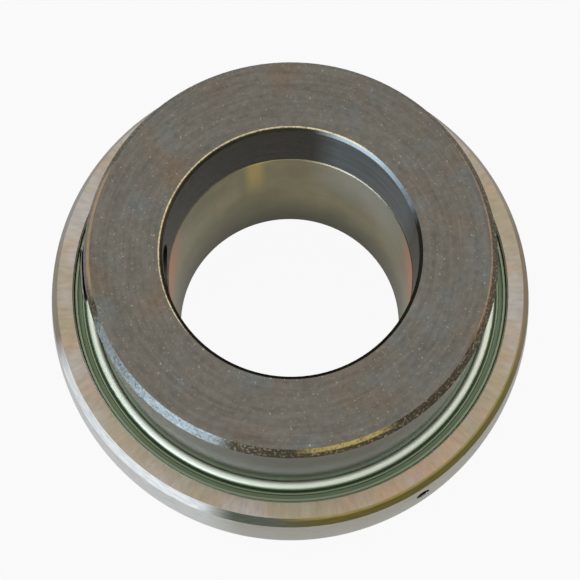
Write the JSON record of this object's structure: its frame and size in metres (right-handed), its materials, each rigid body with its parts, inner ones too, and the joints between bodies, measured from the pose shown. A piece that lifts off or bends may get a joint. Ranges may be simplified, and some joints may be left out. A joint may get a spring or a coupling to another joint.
{
  "type": "insert bearing",
  "caption": "Wide inner ring ball bearing with a spherical outside, sealed on both faces, and an eccentric locking collar with a set screw.",
  "frame": {"origin": "on the bearing's axis at the far end face of the inner ring, on which it stands", "axes": "+Z along the axis towards the locking collar's face; +X to the right in the picture's view, the set screw near -X"},
  "size_m": [0.072, 0.072, 0.0389],
  "materials": {
    "ground_bearing_steel": "ground, satin, warm grey",
    "black_oxide_steel": "turned, black oxide, worn at its edges",
    "black_oxide_screw_steel": "black oxide",
    "polished_ball_steel": "polished",
    "pressed_steel": "pressed sheet, satin",
    "rivet_steel": "cold headed",
    "plain_sheet_steel": "plain sheet",
    "zinc_plated_sheet": "zinc plated, passivated, greenish tint",
    "nitrile_rubber": "moulded"
  },
  "bodies": {
    "outer": {"outer_ring": "ground_bearing_steel", "front_seal_inner_shield": "plain_sheet_steel", "front_seal_lip": "nitrile_rubber", "front_seal_outer_shield": "zinc_plated_sheet", "rear_seal_inner_shield": "plain_sheet_steel", "rear_seal_lip": "nitrile_rubber", "rear_seal_outer_shield": "zinc_plated_sheet"},
    "inner": {"inner_ring": "ground_bearing_steel"},
    "cage": {"cage_front": "pressed_steel", "cage_rear": "pressed_steel", "cage_rivets": "rivet_steel"},
    "ball_1": {"ball_1": "polished_ball_steel"},
    "ball_2": {"ball_2": "polished_ball_steel"},
    "ball_3": {"ball_3": "polished_ball_steel"},
    "ball_4": {"ball_4": "polished_ball_steel"},
    "ball_5": {"ball_5": "polished_ball_steel"},
    "ball_6": {"ball_6": "polished_ball_steel"},
    "ball_7": {"ball_7": "polished_ball_steel"},
    "ball_8": {"ball_8": "polished_ball_steel"},
    "ball_9": {"ball_9": "polished_ball_steel"},
    "collar": {"locking_collar": "black_oxide_steel"},
    "screw": {"set_screw": "black_oxide_screw_steel"}
  },
  "joints": [
    {"name": "inner_spin", "type": "hinge", "parent": "outer", "child": "inner", "pos_m": [0, 0, 0.0129], "axis": [0, 0, 1], "continuous": true},
    {"name": "cage_orbit", "type": "hinge", "parent": "outer", "child": "cage", "pos_m": [0, 0, 0.0129], "axis": [0, 0, 1], "continuous": true},
    {"name": "ball_1_spin", "type": "hinge", "parent": "cage", "child": "ball_1", "pos_m": [0.02675, 0, 0.0129], "axis": [0, 0, 1], "continuous": true},
    {"name": "ball_2_spin", "type": "hinge", "parent": "cage", "child": "ball_2", "pos_m": [0.02049, 0.01719, 0.0129], "axis": [0, 0, 1], "continuous": true},
    {"name": "ball_3_spin", "type": "hinge", "parent": "cage", "child": "ball_3", "pos_m": [0.00465, 0.02634, 0.0129], "axis": [0, 0, 1], "continuous": true},
    {"name": "ball_4_spin", "type": "hinge", "parent": "cage", "child": "ball_4", "pos_m": [-0.01337, 0.02317, 0.0129], "axis": [0, 0, 1], "continuous": true},
    {"name": "ball_5_spin", "type": "hinge", "parent": "cage", "child": "ball_5", "pos_m": [-0.02514, 0.00915, 0.0129], "axis": [0, 0, 1], "continuous": true},
    {"name": "ball_6_spin", "type": "hinge", "parent": "cage", "child": "ball_6", "pos_m": [-0.02514, -0.00915, 0.0129], "axis": [0, 0, 1], "continuous": true},
    {"name": "ball_7_spin", "type": "hinge", "parent": "cage", "child": "ball_7", "pos_m": [-0.01337, -0.02317, 0.0129], "axis": [0, 0, 1], "continuous": true},
    {"name": "ball_8_spin", "type": "hinge", "parent": "cage", "child": "ball_8", "pos_m": [0.00465, -0.02634, 0.0129], "axis": [0, 0, 1], "continuous": true},
    {"name": "ball_9_spin", "type": "hinge", "parent": "cage", "child": "ball_9", "pos_m": [0.02049, -0.01719, 0.0129], "axis": [0, 0, 1], "continuous": true},
    {"name": "collar_turn", "type": "hinge", "parent": "inner", "child": "collar", "pos_m": [0, 0, 0.0277], "axis": [0, 0, 1], "range_deg": [-23, 23]},
    {"name": "screw_travel", "type": "slide", "parent": "collar", "child": "screw", "axis": [-0.9971, -0.0767, 0], "range_m": [-0.00145, 0.005]}
  ],
  "couplings": [
    {"joint": "cage_orbit", "follows": "inner_spin", "ratio": 0.39615},
    {"joint": "ball_1_spin", "follows": "inner_spin", "ratio": -2.3035},
    {"joint": "ball_2_spin", "follows": "inner_spin", "ratio": -2.3035},
    {"joint": "ball_3_spin", "follows": "inner_spin", "ratio": -2.3035},
    {"joint": "ball_4_spin", "follows": "inner_spin", "ratio": -2.3035},
    {"joint": "ball_5_spin", "follows": "inner_spin", "ratio": -2.3035},
    {"joint": "ball_6_spin", "follows": "inner_spin", "ratio": -2.3035},
    {"joint": "ball_7_spin", "follows": "inner_spin", "ratio": -2.3035},
    {"joint": "ball_8_spin", "follows": "inner_spin", "ratio": -2.3035},
    {"joint": "ball_9_spin", "follows": "inner_spin", "ratio": -2.3035}
  ]
}
